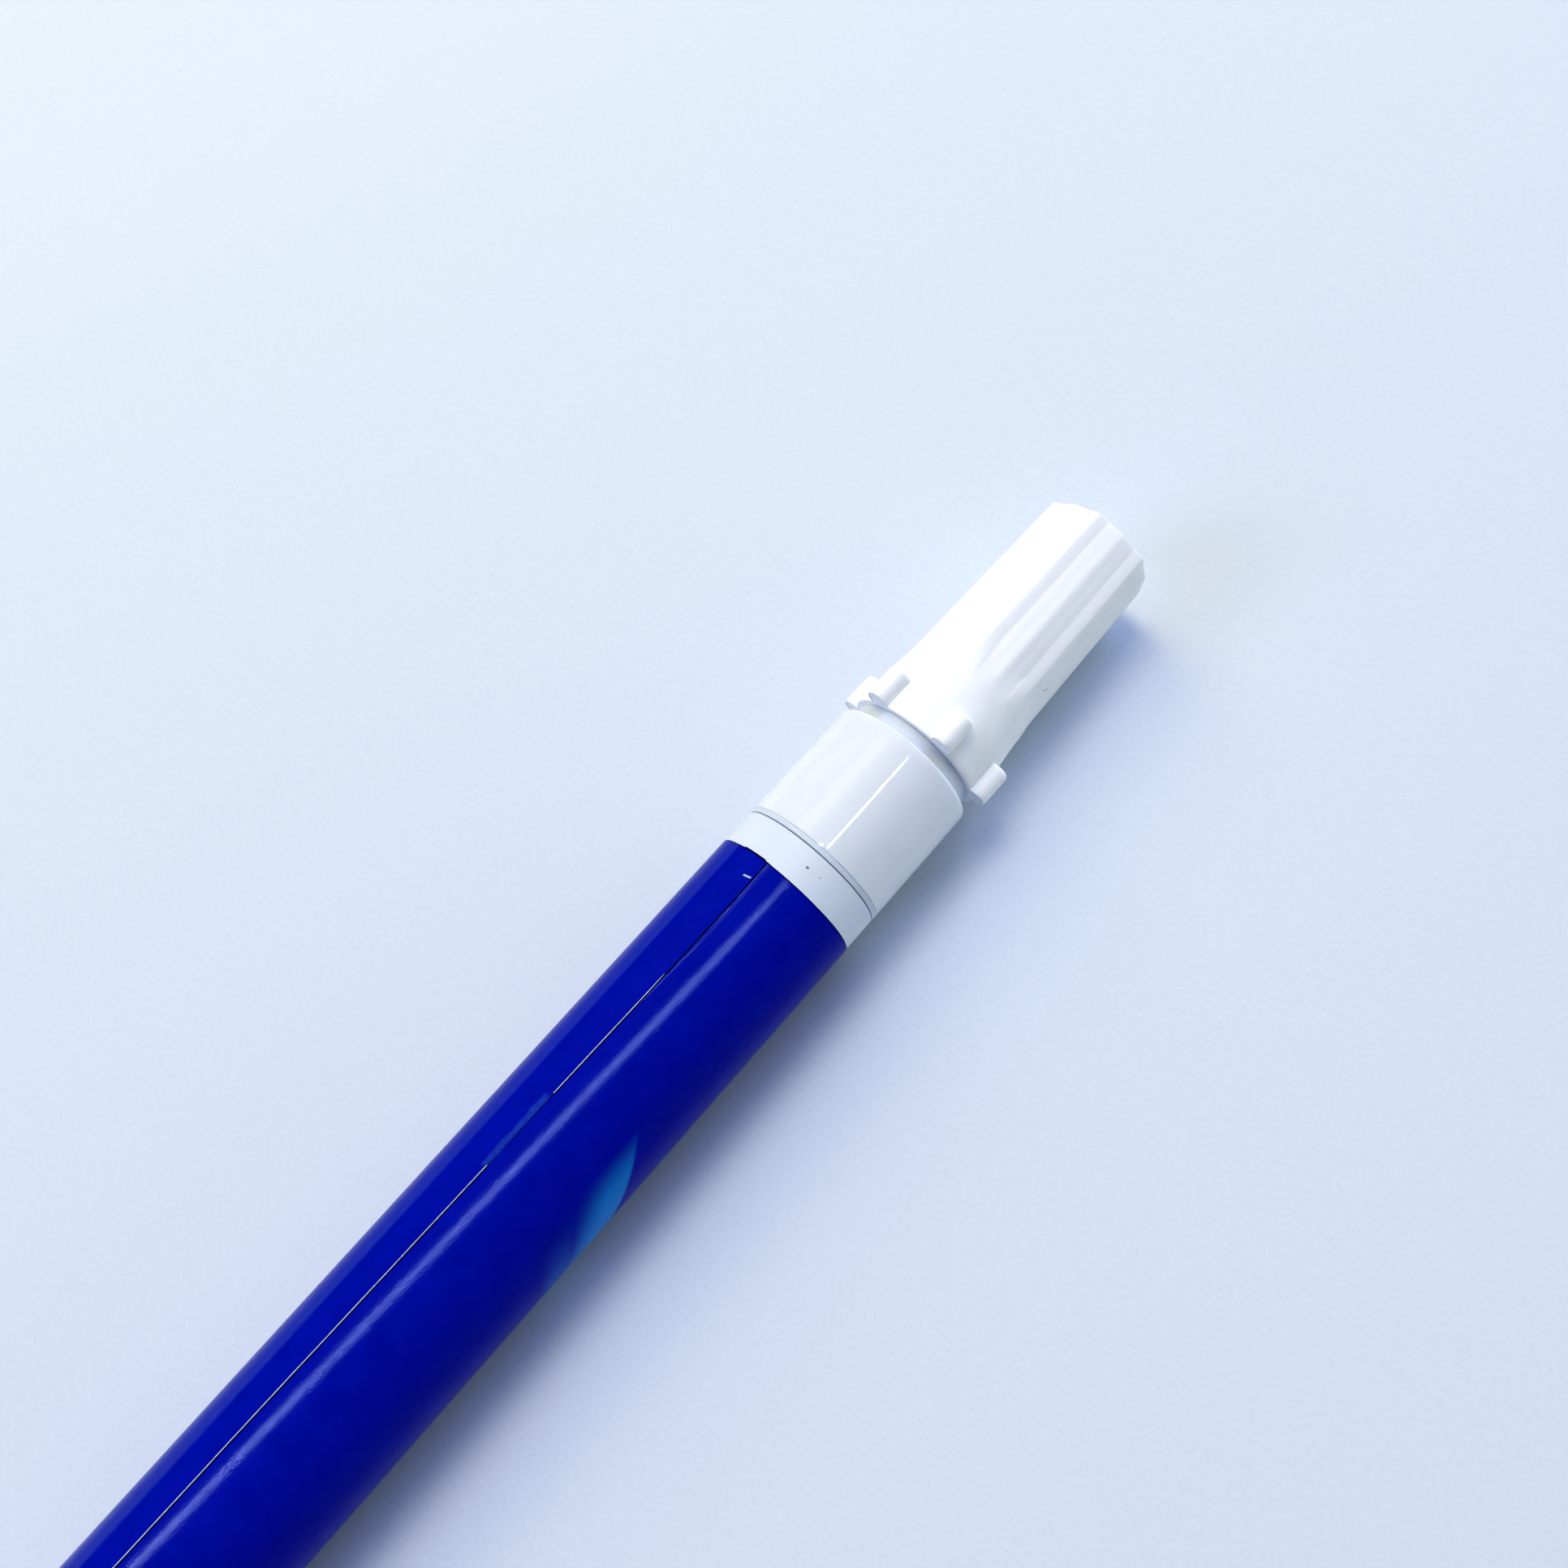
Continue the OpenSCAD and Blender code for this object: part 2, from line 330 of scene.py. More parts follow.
def white_plastic(name, colour, rough, grain, grain_depth, sss=0.15, marks=()):
    """Moulded white plastic: faint mottling, fine grain, a little light in depth.
    marks: small dark specks, as (x mm, phi degrees, length mm, width mm, strength)."""
    n = Nodes(name)
    mottle = n.noise(260.0, 3.0, 0.55)
    tone = n.mix(n.ramp(mottle, 0.3, 0.7), tuple(c * 0.97 for c in colour), colour)
    fine = n.noise(grain, 3.0, 0.6)
    if marks:
        x, phi = n.polar()
        mm_per_degree = 0.12  # round the barrel
        wobble = n.math("MULTIPLY_ADD", n.noise(9000.0, 1.0, 0.5), 0.12, -0.06)
        for mx, mphi, long, wide, strength in marks:
            dx = n.math("DIVIDE", n.math("SUBTRACT", x, mx), long)
            dp = n.math("DIVIDE", n.math("SUBTRACT", phi, mphi), wide / mm_per_degree)
            d = n.math("SQRT", n.math("ADD", n.math("MULTIPLY", dx, dx), n.math("MULTIPLY", dp, dp)))
            spot = n.ramp(n.math("ADD", d, wobble), 0.4, 0.62, strength, 0.0)
            tone = n.mix(spot, tone, (0.10, 0.12, 0.18))
    r = n.ramp(n.noise(900.0, 2.0, 0.6), 0.3, 0.7, rough * 0.88, rough * 1.14)
    normal = n.bump(fine, 0.5, grain_depth, n.bump(n.noise(120.0, 2.0, 0.5), 0.35, 0.00006))
    return n.set(Base_Color=tone, Roughness=r, Normal=normal, Subsurface_Weight=sss,
                 Subsurface_Radius=(0.9, 1.0, 1.2), Subsurface_Scale=0.0009, IOR=1.49,
                 Specular_IOR_Level=0.5 if rough < 0.4 else 0.12)


WHITE_TUBE = white_plastic("tube_white", (0.68, 0.765, 0.87), 0.5, 9000.0, 0.00001,
                           marks=((95.53, 23.8, 0.26, 0.26, 0.95), (95.62, 35.0, 0.2, 0.2, 0.4)))
WHITE_SECTION = white_plastic("section_white", (0.79, 0.85, 0.925), 0.06, 5200.0, 0.000002)
# the sleeve's white made matt and painted darker and bluer: painted shade for the ledge before the cap, the step
# behind the sleeve and the plug inside the tube
WHITE_PAINTED_SHADE = white_plastic("section_white_painted_shade", (0.62, 0.71, 0.84), 0.6, 5200.0, 0.000006)
WHITE_CAP = white_plastic("cap_white", (0.92, 0.955, 0.985), 0.5, 7000.0, 0.000009,
                          marks=((124.0, 84.0, 0.16, 0.5, 0.5), (124.35, 86.5, 0.1, 0.35, 0.55),
                                 (124.7, 80.5, 0.1, 0.3, 0.4)))
LINER = white_plastic("liner_natural", (0.72, 0.74, 0.72), 0.30, 5000.0, 0.000004, sss=0.4)


def fibre(name, colour, dark, across, along):
    """Bundled fibres running along X."""
    n = Nodes(name)
    v = n.scaled((along, across, across))
    strands = n.noise(1.0, 4.0, 0.65, v)
    blotch = n.noise(420.0, 2.0, 0.5)
    tone = n.mix(n.ramp(strands, 0.35, 0.65), dark, colour)
    tone = n.mix(n.ramp(blotch, 0.4, 0.7, 0.0, 0.35), tone, dark)
    return n.set(Base_Color=tone, Roughness=n.ramp(strands, 0.3, 0.7, 0.85, 0.65),
                 Normal=n.bump(strands, 0.6, 0.00004), Sheen_Weight=0.2)


NIB_FIBRE = fibre("nib_fibre", (0.70, 0.60, 0.38), (0.42, 0.30, 0.13), 9000.0, 500.0)
CORE_FIBRE = fibre("reservoir_fibre", (0.78, 0.72, 0.54), (0.55, 0.45, 0.26), 7000.0, 300.0)


def clear_skin():
    """The reservoir's thin plastic film, slightly wrinkled along its length."""
    n = Nodes("reservoir_skin")
    wrinkle = n.noise(1.0, 3.0, 0.6, n.scaled((300.0, 2200.0, 2200.0)))
    return n.set(Base_Color=n.mix(n.ramp(wrinkle, 0.4, 0.6), (0.74, 0.78, 0.82), (0.84, 0.88, 0.92)),
                 Roughness=n.ramp(wrinkle, 0.3, 0.7, 0.08, 0.2), Normal=n.bump(wrinkle, 0.4, 0.00003))


SKIN = clear_skin()


def label_material():
    """Satin printed film: deep blue with soft pale bands round the side, and a fine sparkle in its gloss."""
    n = Nodes("label_blue")
    x, phi = n.polar()
    deep, lift = (0.0003, 0.0030, 0.30), (0.0005, 0.0042, 0.34)
    tone = n.mix(n.ramp(n.noise(380.0, 3.0, 0.5), 0.35, 0.65), deep, lift)
    # from the back round to the under layer's start, on the side towards the lamps, the film is painted a little
    # lighter: a painted reflection
    tone = n.mix(n.ramp(phi, -28.5, -26.0, 0.8, 0.0), tone, (0.0012, 0.0110, 0.36))
    # a pale band with one crisp side, and a fainter one beside it
    side = n.math("SUBTRACT", n.math("MULTIPLY_ADD", phi, -0.145, 77.7), x)
    wide = n.all_of(n.ramp(side, 0.0, 0.5), n.ramp(side, 2.8, 8.2, 1.0, 0.0, True),
                    n.ramp(phi, 55.0, 80.0, 0.0, 0.92, True), n.ramp(phi, 150.0, 178.0, 1.0, 0.0, True))
    off = n.math("ABSOLUTE", n.math("SUBTRACT", n.math("MULTIPLY_ADD", phi, -0.075, 63.3), x))
    faint = n.all_of(n.ramp(off, 0.3, 2.8, 1.0, 0.0, True), n.ramp(phi, 60.0, 100.0, 0.0, 0.26, True),
                     n.ramp(phi, 150.0, 178.0, 1.0, 0.0, True))
    tone = n.mix(n.math("MAXIMUM", wide, faint), tone, (0.006, 0.20, 0.66))
    # handling marks: a hazy patch on the upper layer and one short scratch
    ragged = n.math("MULTIPLY_ADD", n.noise(1500.0, 3.0, 0.6, n.scaled((1.0, 0.2, 0.2))), 5.0, -9.4)
    haze = n.all_of(n.band(x, HAZE_X0 - 0.1, HAZE_X1, 0.4), n.ramp(n.math("SUBTRACT", phi, ragged), 0.0, 0.9),
                    n.ramp(phi, -2.0, -1.4, 1.0, 0.0), n.ramp(n.noise(2600.0, 3.0, 0.6), 0.3, 0.7, 0.35, 0.9))
    tone = n.mix(haze, tone, (0.009, 0.040, 0.37))
    scratch = n.all_of(n.band(n.math("MULTIPLY_ADD", phi, -0.025, x), 91.52, 91.68, 0.08),
                       n.band(phi, -6.2, -0.2, 0.8))
    tone = n.mix(scratch, tone, (0.42, 0.52, 0.80))
    # a dark line along the film's front edge
    tone = n.mix(n.ramp(x, LABEL_X1 - 0.16, LABEL_X1 - 0.06, 0.0, 0.92), tone, (0.0002, 0.0006, 0.012))
    # fine grain that breaks the long highlights into sparkle
    grain = n.noise(6500.0, 1.0, 0.5)
    return n.set(Base_Color=tone, Roughness=0.10, Normal=n.bump(grain, 1.0, 0.0000085), IOR=1.10,
                 Specular_Tint=(0.24, 0.34, 1.0))


LABEL_BLUE = label_material()


def film_edge(name, lo, hi):
    """The film's raw cut or the line of shade beside it: matt, mottled between two colours."""
    n = Nodes(name)
    g = n.noise(3000.0, 2.0, 0.6)
    return n.set(Base_Color=n.mix(n.ramp(g, 0.35, 0.6), lo, hi), Roughness=0.8,
                 Normal=n.bump(g, 0.4, 0.00002), Specular_IOR_Level=0.0)


FILM_EDGE = film_edge("label_cut_edge", (0.55, 0.66, 0.90), (0.86, 0.92, 0.98))
FILM_LINE = film_edge("label_cut_shadow", (0.0002, 0.0006, 0.010), (0.0004, 0.0010, 0.022))


# ---------------------------------------------------------------- pieces

def done(ob, node):
    """The piece stands for a CAD node: it rides on that node's body, and the node's own mesh is hidden."""
    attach(ob, frame["nodes"][node]["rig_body"])
    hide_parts(node)


# tube: bare collars show at both ends of the label
tube = turned("tube", fillet([
    (TUBE_X0 + 1, TUBE_BORE_R, 0), (TUBE_X0, TUBE_BORE_R, 0.08), (TUBE_X0, TUBE_R, 0.14), (TUBE_X1, TUBE_R, 0.07),
    (TUBE_X1, TUBE_BORE_R, 0.08), (TUBE_X1 - 1, TUBE_BORE_R, 0)]), [WHITE_TUBE])
done(tube, "barrel_tube")


def seam_phi(x):
    """Where the upper layer's cut edge runs, degrees."""
    return np.interp(x, [LABEL_X0, 17.6, 33, 58.7, 66.5, 87.8, LABEL_X1], [-8.3, -7.2, -5.9, -2.5, -1.7, 1.2, 0.9])


def under_phi(x):
    """Where the under layer starts, degrees."""
    return np.interp(x, [LABEL_X0, 15.8, 36.8, 68, LABEL_X1], [-28.2, -27.7, -26.5, -25.8, -25.2])


def make_label():
    """A film wound once round the tube and lapped. Each row along the pen is a spiral of outer and inner points,
    from the under layer's start, round once, up to the upper layer's cut edge."""
    film = LABEL_R - TUBE_R      # film thickness
    slack = 0.002                # the inner face stays this far off the tube, the outer this far inside the CAD's box
    turn = 360.0
    white_edge = 0.03            # unprinted strip along the cut
    pinch_rise, pinch_width = 0.36, 0.56
    cut_lift = 0.035             # how far the cut edge stands up
    front_zone, front_step, front_corner = 1.2, 0.10, 0.40
    edge_r = 0.018               # easing of the film's edges

    # stations along the label, dense at both ends; written for a label 89 mm long
    xs = np.concatenate([[0, .02, .06, .12, .25, .5, 1.0], np.linspace(2, 87, 86),
                         [88, 88.4, 88.6, 88.75, 88.85, 88.92, 88.97, 89.0]])
    xs = LABEL_X0 + xs * (LABEL_X1 - LABEL_X0) / 89.0
    # shares of the spiral, written for one 378 degrees long; dense at its start, where the cut edge lies over it,
    # and where it climbs over its own start
    spiral = 378.0
    share = np.unique(np.round(np.concatenate([
        np.arange(0, 3, 0.25), np.arange(3, 20, 1.0), np.arange(20, 30, 0.25), np.arange(30, 357, 2.0),
        np.arange(357, 363, 0.2), np.arange(363, 378, 1.0)]), 3))
    # the last samples, as mm before the cut
    tail_mm = np.array([1.2, .9, .7, .55, .45, .36, .28, .22, .17, .13, .10, .07, .045, .025, .01, 0.0])

    verts, rows_o, rows_i = [], [], []
    for x in xs:
        u0, s0 = under_phi(x), seam_phi(x)
        total = s0 + turn - u0
        span = total - math.degrees(tail_mm[0] / LABEL_R)
        d = np.concatenate([share / spiral * span, total - np.degrees(tail_mm[1:] / LABEL_R)])
        ring_o, ring_i = [], []
        for dd in d:
            phi = u0 + dd
            over = smoothstep(turn - 9.0, turn + 1.0, dd)          # climbs over the under layer's start
            r_in = TUBE_R + film * over
            # beside the cut the layer below is pinched up a little, most at the front end
            beside = phi - s0
            away = abs(math.radians(beside)) * LABEL_R
            wide = pinch_width * smoothstep(68.0, 92.0, x) + 0.0001
            pinch = pinch_rise * (math.hypot(max(0.0, wide - away) + 0.02, 0.02) - 0.0283)
            if dd < turn / 2 and beside > 0:
                r_in += max(0.0, pinch)
            else:
                r_in += pinch_rise * wide * 0.9 * (1 - smoothstep(0.0, 0.6, away))
            togo = math.radians(total - dd) * LABEL_R               # mm to the cut edge
            lift = cut_lift * (1 - smoothstep(0.0, 0.5, togo)) * (0.75 + 0.25 * math.sin(x * 0.9))
            if HAZE_X0 < x < HAZE_X1:
                lift *= 0.35
            r_in += lift
            # front edge: the upper layer stands forward, with a rounded corner at the cut
            xx = x
            if x > LABEL_X1 - front_zone:
                k = (x - (LABEL_X1 - front_zone)) / front_zone
                step = front_step * smoothstep(turn + 3.4, turn + 4.0, dd)
                cut = 0.0
                if togo < front_corner:
                    cut = front_corner - math.sqrt(max(0.0, front_corner ** 2 - max(0.0, front_corner - togo) ** 2))
                wave = 0.012 * math.sin(math.radians(phi) * 5 + 1.0)
                xx = x + k * (step - cut + wave)
            e = smoothstep(0.0, 0.10, LABEL_X1 - x) * smoothstep(0.0, 0.10, x - LABEL_X0)
            r_out = r_in + film - slack - edge_r * (1 - e) - edge_r * (1 - smoothstep(0.0, 0.03, togo))
            ring_o.append(len(verts))
            verts.append(point(xx, r_out, math.radians(phi)))
            ring_i.append(len(verts))
            verts.append(point(xx, r_in + slack, math.radians(phi)))
        rows_o.append(ring_o)
        rows_i.append(ring_i)

    printed, white, shade = 0, 1, 2
    faces, mats = [], []
    m = len(rows_o[0])
    white_from = m - 1 - int(np.sum(tail_mm[1:] <= white_edge))
    for i in range(len(xs) - 1):
        hazy = HAZE_X0 < xs[i] < HAZE_X1
        gap = (seam_phi(xs[i]) - under_phi(xs[i]))
        # degrees past the cut edge that lies on top, for each share of the under layer
        past = share / spiral * (gap + turn - math.degrees(tail_mm[0] / LABEL_R)) - gap
        for j in range(m - 1):
            faces.append((rows_o[i][j], rows_o[i][j + 1], rows_o[i + 1][j + 1], rows_o[i + 1][j]))
            if j >= white_from and not hazy:
                mats.append(white)
            elif j < len(past) and 0.0 <= past[j] < (0.4 if hazy else 1.0):
                mats.append(shade)
            else:
                mats.append(printed)
            faces.append((rows_i[i][j], rows_i[i + 1][j], rows_i[i + 1][j + 1], rows_i[i][j + 1]))
            mats.append(printed)
        for j, edge_mat in ((0, printed), (m - 1, printed if hazy else white)):
            faces.append((rows_o[i][j], rows_o[i + 1][j], rows_i[i + 1][j], rows_i[i][j]))
            mats.append(edge_mat)
    for i in (0, len(xs) - 1):
        for j in range(m - 1):
            faces.append((rows_o[i][j], rows_o[i][j + 1], rows_i[i][j + 1], rows_i[i][j]))
            mats.append(white)
    return build("label", verts, faces, [LABEL_BLUE, FILM_EDGE, FILM_LINE], mats, sharp=50.0, weld=False)


done(make_label(), "label_wrap")

# tail plug: end disc with an eased edge, and the plug wall inside the tube
plug = turned("end_plug", fillet([
    (0.12, 0.0, 0), (0.12, 0.9, 0.05), (0.0, 1.0, 0.05), (0.0, TUBE_R, 0.8), (TUBE_X0, TUBE_R, 0.12),
    (TUBE_X0, TUBE_BORE_R, 0), (15.5, TUBE_BORE_R, 0), (16.0, 6.25, 0), (16.0, PLUG_BORE_R, 0),
    (3.0, PLUG_BORE_R, 0.2), (3.0, 0.0, 0)]), [WHITE_TUBE], closed=False)
done(plug, "tail_plug")


def make_front():
    """Glossy sleeve, shoulder, neck with its bead, nose with four air grooves round the nib."""
    plug_x0, core_x0, core_x1, core_r = 88.6, 109.0, 115.4, 4.3
    step_x = TUBE_X1 + 0.12
    groove_r = 0.36
    prof = fillet([
        # the plug inside the tube, and the step
        (plug_x0, PLUG_BORE_R, 0), (plug_x0, 6.3, 0.1), (89.1, TUBE_BORE_R, 0.05), (TUBE_X1 - 0.01, TUBE_BORE_R, 0),
        (TUBE_X1 - 0.01, 6.8, 0), (TUBE_X1 + 0.11, 6.8, 0), (step_x, STEP_R, 0.04), (SLEEVE_X, STEP_R, 0),
        # the sleeve; its two inner points keep the shading of the long faces straight
        (SLEEVE_X, SLEEVE_REAR_R, 0.05), (SLEEVE_X + 0.25, SLEEVE_REAR_R, 0),
        (SHOULDER_X - 1.15, SLEEVE_FRONT_R + 0.004, 0), (SHOULDER_X, SLEEVE_FRONT_R, 0.85),
        # the ledge, which ends just short of the cap's rim
        (SHOULDER_X, LEDGE_R, 0.06), (RIM_X - 0.03, LEDGE_R, 0.03), (RIM_X - 0.03, NECK_R, 0),
        # the neck with its grip bead
        (113.0, NECK_R, 0.1), (113.3, 5.72, 0.15), (113.9, 5.72, 0.15), (114.2, NECK_R, 0.1), (116.1, NECK_R, 0.2),
        # the nose
        (116.4, 5.2, 0.1), (116.4, 3.92, 0.15), (125.4, 3.66, 0.5), (NOSE_X, 3.1, 0.25),
        # the bores for the nib and the reservoir
        (NOSE_X, NOSE_BORE_R, 0.12), (core_x1, NOSE_BORE_R, 0), (core_x1, core_r, 0), (core_x0, core_r, 0),
        (core_x0, PLUG_BORE_R, 0)], steps=8)

    def radius(x, r, phi):
        if x > 115.0 and r < 2.75:
            d = (math.degrees(phi) - 45.0) % 90.0
            d = min(d, 90.0 - d)
            arc = math.radians(d) * NOSE_BORE_R
            if arc < groove_r:
                return max(r, NOSE_BORE_R + math.sqrt(max(0.0, groove_r ** 2 - arc ** 2)))
        return r

    def mat_of(x, r):
        # the ledge and everything behind the sleeve take the painted-shade copy of the white
        on_ledge = SHOULDER_X - 0.01 < x < RIM_X and 5.5 < r < LEDGE_R + 0.06
        return 1 if on_ledge or x < SLEEVE_X - 0.01 else 0

    return turned("front_sleeve", prof, [WHITE_SECTION, WHITE_PAINTED_SHADE], segments=256, radius=radius, mat_of=mat_of)


done(make_front(), "front_section")

nib = turned("fibre_tip", fillet([
    (NIB_LO.x, 0.0, 0), (NIB_LO.x, NIB_R - 0.8, 0.2), (NIB_LO.x + 1, NIB_R, 0.5), (NIB_HI.x - 2.9, NIB_R, 1.2),
    (NIB_HI.x - 1.4, NIB_R * 0.78, 1.5), (NIB_HI.x - 0.3, NIB_R * 0.36, 0.6), (NIB_HI.x, 0.0, 0)], steps=8),
    [NIB_FIBRE], closed=False, segments=128)
done(nib, "nib")


def cap_angles():
    """Angular samples over one turn, dense at the rib and lug flanks, degrees."""
    half = np.concatenate([np.arange(0, 10, 0.4), np.arange(10, 18, 1.0), np.arange(18, 23, 0.2),
                           np.arange(23, 30, 0.7)])
    a = np.concatenate([60.0 * k + sign * half for k in range(6) for sign in (1, -1)]
                       + [[30.0 + 60 * k for k in range(6)]])
    return np.unique(np.round(np.mod(a, 360.0), 3))


def cap_radius(x, deg):
    """Outer radius of the cap without its lugs, mm, at a station and for an array of angles."""
    d_rib = np.abs((deg + 30.0) % 60.0 - 30.0)          # from the nearest rib's centre line
    crest = np.interp(x, [RIM_X, RIM_X + 3.6, RIM_X + 4.6, RIM_X + 5.6, RIM_X + 6.6, RIM_X + 7.6, CAP_END_X],
                      [7.0, 6.98, 6.92, 6.80, 6.69, 6.63, 6.15])
    half = math.radians(30.0) * crest
    s = np.radians(d_rib) * crest                        # mm round from the rib's centre line
    top, foot, corner = 0.10, 1.30, 1.0                  # half the rib's top and foot, and the recess's corner, mm
    run_out = 3.6                                        # mm over which a recess deepens
    x0 = RIM_X + 6.8
    near = np.clip((foot + corner - s) / corner, 0, 1)
    start = x0 + corner * (1 - np.sqrt(1 - near ** 2))   # the recess starts with rounded corners
    ramp = smoothstep(start, start + run_out, x)
    prog = min(1.0, max(0.0, (x - x0) / (CAP_END_X - x0)))
    at_foot, valley, ridge = 0.35 + 0.08 * prog, 0.31 + 0.12 * prog, 0.15 + 0.20 * prog
    u = np.clip((s - foot) / (half - foot), 0, 1)        # 0 at the rib's foot, 1 on the panel's centre line
    c1, c2 = smoothstep(0.0, 0.5, u), smoothstep(0.5, 1.0, u)
    depth = at_foot + (valley - at_foot) * c1 + (ridge - valley) * c2
    fall = np.clip((s - top) / (foot - top), 0, 1)
    return crest - depth * (0.75 * fall + 0.25 * smoothstep(0.0, 1.0, fall)) * ramp


def with_lug(r, x, deg):
    """The cap's radius with its six half-round lugs, which stand between the ribs at the open rim."""
    d = np.radians(np.abs(30.0 - np.abs((deg + 30.0) % 60.0 - 30.0)))   # from the nearest lug's centre line
    centre, half_width = 7.4, 1.1
    ease = 0.45                                          # rounding of the lug's front end
    if x > LUG_END_X + 1e-6:
        return r
    shrink = 0.0
    if x > LUG_END_X - ease:
        u = (x - (LUG_END_X - ease)) / ease
        shrink = ease * (1 - math.sqrt(max(0.0, 1 - u * u)))
    w = half_width - shrink
    sn = np.sin(d)
    top = centre * np.cos(d) + np.sqrt(np.maximum(w * w - (centre * sn) ** 2, 0.0))
    side = w / np.maximum(sn, 1e-6)
    lug = np.where(centre * sn < w, top, side)
    lug = np.where(lug > 5.0, lug, 5.0)
    return smooth_max(np.minimum(lug, 8.6), r, 0.22)


def make_cap():
    """The cap as rings of points: rim face, outside with lugs and flutes, closed end, then the bore."""
    deg = cap_angles()
    n = len(deg)
    verts, rings = [], []

    def ring(x, r):
        ids = []
        for a, rr in zip(deg, np.broadcast_to(r, deg.shape)):
            ids.append(len(verts))
            verts.append(point(x, float(rr), math.radians(a + CAP_TURN)))
        rings.append(ids)

    rim_ease, end_ease, end_dish, end_wall = 0.13, 0.24, 0.03, 1.2
    bore_r, bore_mouth_r, bore_x1 = 5.75, 5.66, RIM_X + 5.5
    base = with_lug(cap_radius(RIM_X + rim_ease, deg), RIM_X + rim_ease, deg)
    for r in (5.74, 6.0, 6.3, 6.6):
        ring(RIM_X, r)
    # the rim's eased edge; its rings run back towards the rim face, so the surface folds here by about 0.1 mm
    ring(RIM_X + rim_ease, base - rim_ease)
    for k in range(1, 6):
        t = math.pi / 2 * k / 5
        ring(RIM_X + rim_ease * (1 - math.sin(t)), base - rim_ease * (1 - math.cos(t)))
    xs = np.concatenate([
        np.linspace(RIM_X + 0.3, RIM_X + 3.1, 12),
        RIM_X + 3.15 + 0.45 * np.sin(np.linspace(0, math.pi / 2, 9))[1:],
        [RIM_X + 3.602, RIM_X + 3.63, RIM_X + 3.7, RIM_X + 3.9],
        np.linspace(RIM_X + 4.2, RIM_X + 6.8, 11),
        np.linspace(RIM_X + 6.95, RIM_X + 11.2, 34),
        np.linspace(RIM_X + 11.8, CAP_END_X - 0.9, 22)])
    for x in xs:
        ring(x, with_lug(cap_radius(x, deg), x, deg))
    # the closed end: eased edge, then a slightly dished face
    end_r = cap_radius(CAP_END_X - end_ease, deg)
    for k in range(1, 9):
        t = math.pi / 2 * k / 8
        ring(CAP_END_X - end_ease + end_ease * math.sin(t), end_r - end_ease * (1 - math.cos(t)))
    for f in (0.93, 0.8, 0.6, 0.35, 0.12):
        ring(CAP_END_X - end_dish * (1 - f), (end_r - end_ease) * f)
    tip = len(verts)
    verts.append(point(CAP_END_X - end_dish, 0, 0))
    # inside, from the bore's mouth to the blind end
    start_inner = len(rings)
    for x, r in ((RIM_X + 0.04, bore_mouth_r), (RIM_X + 0.3, bore_mouth_r), (RIM_X + 0.5, bore_r), (bore_x1, bore_r),
                 (bore_x1, 4.9), (CAP_END_X - end_wall, 4.35)):
        ring(x, r)
    tip_in = len(verts)
    verts.append(point(CAP_END_X - end_wall, 0, 0))
    faces = []

    def join(ra, rb):
        for j in range(n):
            k = (j + 1) % n
            faces.append((ra[j], ra[k], rb[k], rb[j]))

    for i in range(start_inner - 1):
        join(rings[i], rings[i + 1])
    last_out = rings[start_inner - 1]
    for j in range(n):
        faces.append((last_out[j], last_out[(j + 1) % n], tip))
    join(rings[start_inner], rings[0])
    for i in range(start_inner, len(rings) - 1):
        join(rings[i + 1], rings[i])
    for j in range(n):
        faces.append((rings[-1][(j + 1) % n], rings[-1][j], tip_in))
    return build("cap", verts, faces, [WHITE_CAP], sharp=50.0)


done(make_cap(), "cap_shell")

liner = turned("cap_liner", fillet([
    (LINER_LO.x, 3.97, 0), (LINER_LO.x, 5.7, 0.1), (LINER_LO.x + 0.5, 5.7, 0.05), (LINER_LO.x + 0.5, 4.9, 0.05),
    (LINER_HI.x, 4.38, 0.1), (LINER_HI.x, 0.0, 0)]) + fillet([
        (LINER_HI.x - 1, 0.0, 0), (LINER_HI.x - 1, 3.72, 0.3), (126.0, 3.72, 0.5), (LINER_LO.x, 3.97, 0)])[:-1],
    [LINER], closed=True)
done(liner, "inner_cap")

for node, material in (("reservoir_core", CORE_FIBRE), ("reservoir_film", SKIN)):
    mesh = frame["nodes"][node].data
    mesh.materials.clear()
    mesh.materials.append(material)


# ---------------------------------------------------------------- floor, light, camera

def paper():
    """The pale sheet, faintly grained."""
    n = Nodes("paper")
    fine = n.noise(1800.0, 4.0, 0.6)
    return n.set(Base_Color=n.mix(n.ramp(fine, 0.3, 0.7), (0.612, 0.697, 0.805), (0.637, 0.722, 0.825)),
                 Roughness=0.85, Normal=n.bump(fine, 0.4, 0.00006), Specular_IOR_Level=0.0)


floor_mesh = bpy.data.meshes.new("floor")
bm = bmesh.new()
bmesh.ops.create_grid(bm, x_segments=1, y_segments=1, size=3.0)
bmesh.ops.translate(bm, verts=bm.verts, vec=(0.07, 0, FLOOR_Z - 0.00001))
bm.to_mesh(floor_mesh)
bm.free()
floor = bpy.data.objects.new("floor", floor_mesh)
floor_mesh.materials.append(paper())
bpy.context.scene.collection.objects.link(floor)

world = bpy.data.worlds.new("studio")
bpy.context.scene.world = world
world.use_nodes = True
background = world.node_tree.nodes["Background"]
background.inputs["Color"].default_value = (0.05, 0.08, 1.0, 1.0)
background.inputs["Strength"].default_value = 0.085


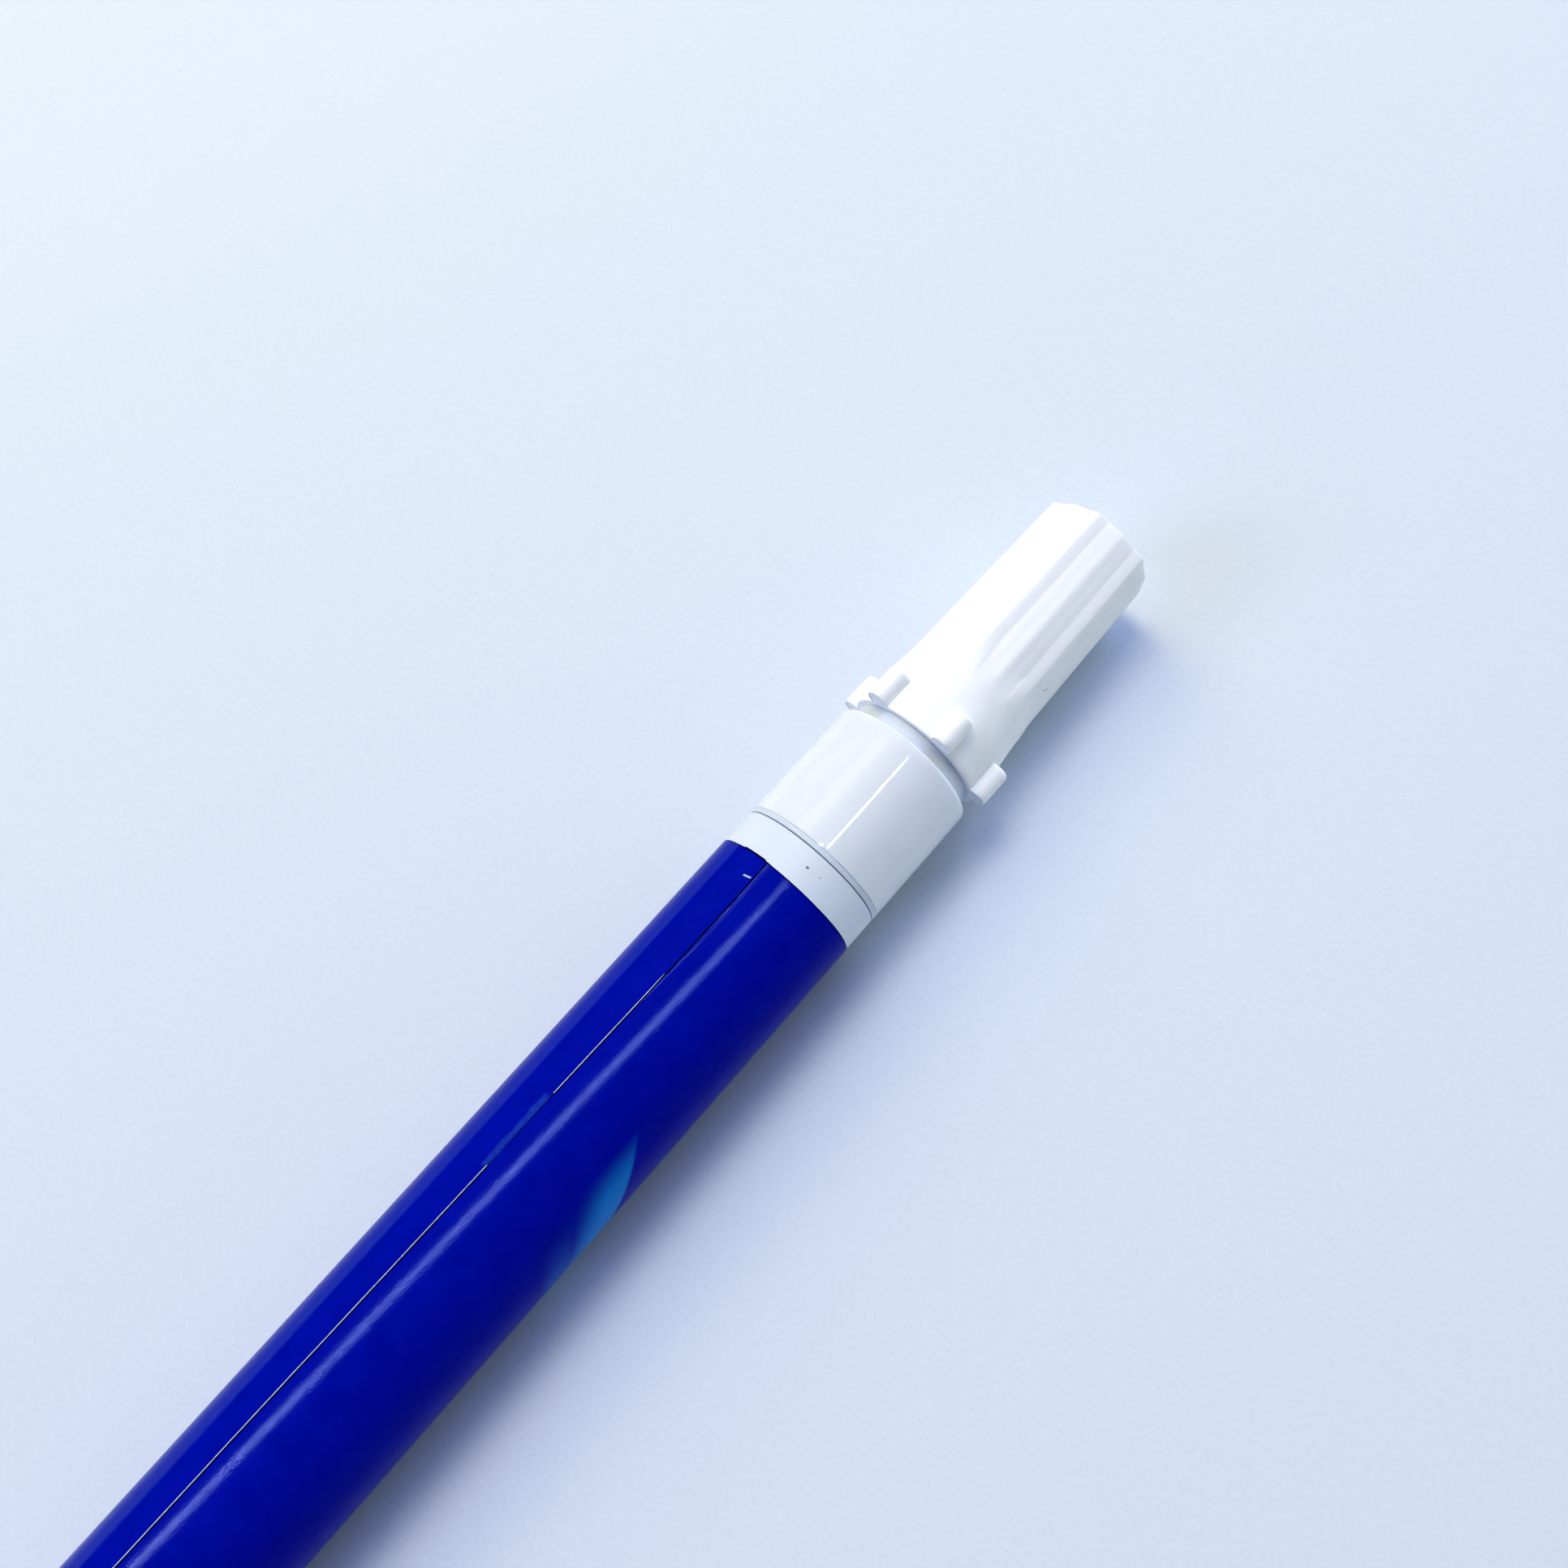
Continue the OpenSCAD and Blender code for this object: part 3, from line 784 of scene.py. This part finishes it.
def area(name, around, up, away, size, watts):
    """A square light aimed at the pen, seen in no reflection. around: degrees from +X towards +Y; up: elevation;
    away and size: metres; watts: red, green, blue."""
    a, e = math.radians(around), math.radians(up)
    d = Vector((math.cos(a) * math.cos(e), math.sin(a) * math.cos(e), math.sin(e)))
    light = bpy.data.lights.new(name, "AREA")
    light.shape = "RECTANGLE"
    light.size = light.size_y = size
    light.energy = max(watts)
    light.color = [w / max(watts) for w in watts]
    ob = bpy.data.objects.new(name, light)
    ob.matrix_world = Matrix.Translation(AIM + d * away) @ d.to_track_quat("Z", "Y").to_matrix().to_4x4()
    ob.visible_camera = ob.visible_glossy = False
    bpy.context.scene.collection.objects.link(ob)


def card(name, a, b, width, radiance):
    """A bright strip from point a to point b, facing down, that only shows as a reflection. radiance: W/m2/sr."""
    a, b = Vector(a), Vector(b)
    y = (b - a).normalized()
    z = (Vector((0, 0, 1)) - y * y.z).normalized()
    x = y.cross(z)
    light = bpy.data.lights.new(name, "AREA")
    light.shape = "RECTANGLE"
    light.size, light.size_y = width, (b - a).length
    light.energy = radiance * math.pi * light.size * light.size_y
    ob = bpy.data.objects.new(name, light)
    ob.matrix_world = Matrix.Translation((a + b) / 2) @ Matrix((x, y, z)).transposed().to_4x4()
    ob.visible_camera = ob.visible_diffuse = False
    bpy.context.scene.collection.objects.link(ob)


AIM = Vector((0.09, 0.0, 0.0))
# name, around, up, away, size, watts
for row in (
        ("key", 36, 68, 1.30, 0.60, (8.71, 8.07, 6.35)),
        ("far_low", 0, 40, 1.30, 0.60, (4.13, 4.84, 8.69)),
        ("right_far", 330, 25, 1.30, 0.60, (2.72, 3.62, 3.05)),
        ("right_low", 300, 15, 1.30, 0.50, (1.96, 1.60, 0.70)),
        ("left", 90, 60, 1.30, 0.60, (1.70, 1.40, 1.00)),
        ("near_left", 150, 38, 0.65, 0.35, (1.06, 1.29, 1.68)),
        ("near_top", 70, 38, 0.65, 0.35, (1.37, 1.13, 0.31))):
    area(*row)
# name, a, b, width, radiance
for row in (
        ("strip", (0.275, -0.318, 1.0), (-0.55, 0.63, 1.0), 0.05, 250.0),
        ("strip_end", (0.315, -0.469, 1.0), (0.420, -0.469, 1.0), 0.045, 45.0),
        ("panel", (0.385, 0.16, 1.0), (0.385, 0.52, 1.0), 0.15, 1.6)):
    card(*row)

# the photo's camera: where it stands, and its axes
CAM_AT = Vector((68.402, -62.862, 134.809)) * MM
CAM_RIGHT = Vector((0.658590, -0.721477, -0.213845))
CAM_DOWN = Vector((-0.720798, -0.523216, -0.454638))
CAM_FORWARD = Vector((0.216124, 0.453559, -0.864624))
cam = bpy.data.objects.new("camera", bpy.data.cameras.new("camera"))
cam.data.sensor_fit = "HORIZONTAL"
cam.data.sensor_width = 36.0
cam.data.lens = 37.706
cam.data.clip_start, cam.data.clip_end = 0.005, 20.0
cam.matrix_world = Matrix.Translation(CAM_AT) @ Matrix((CAM_RIGHT, -CAM_DOWN, -CAM_FORWARD)).transposed().to_4x4()
bpy.context.scene.collection.objects.link(cam)
bpy.context.scene.camera = cam
bpy.context.scene.view_settings.view_transform = "Standard"

bpy.context.view_layer.update()
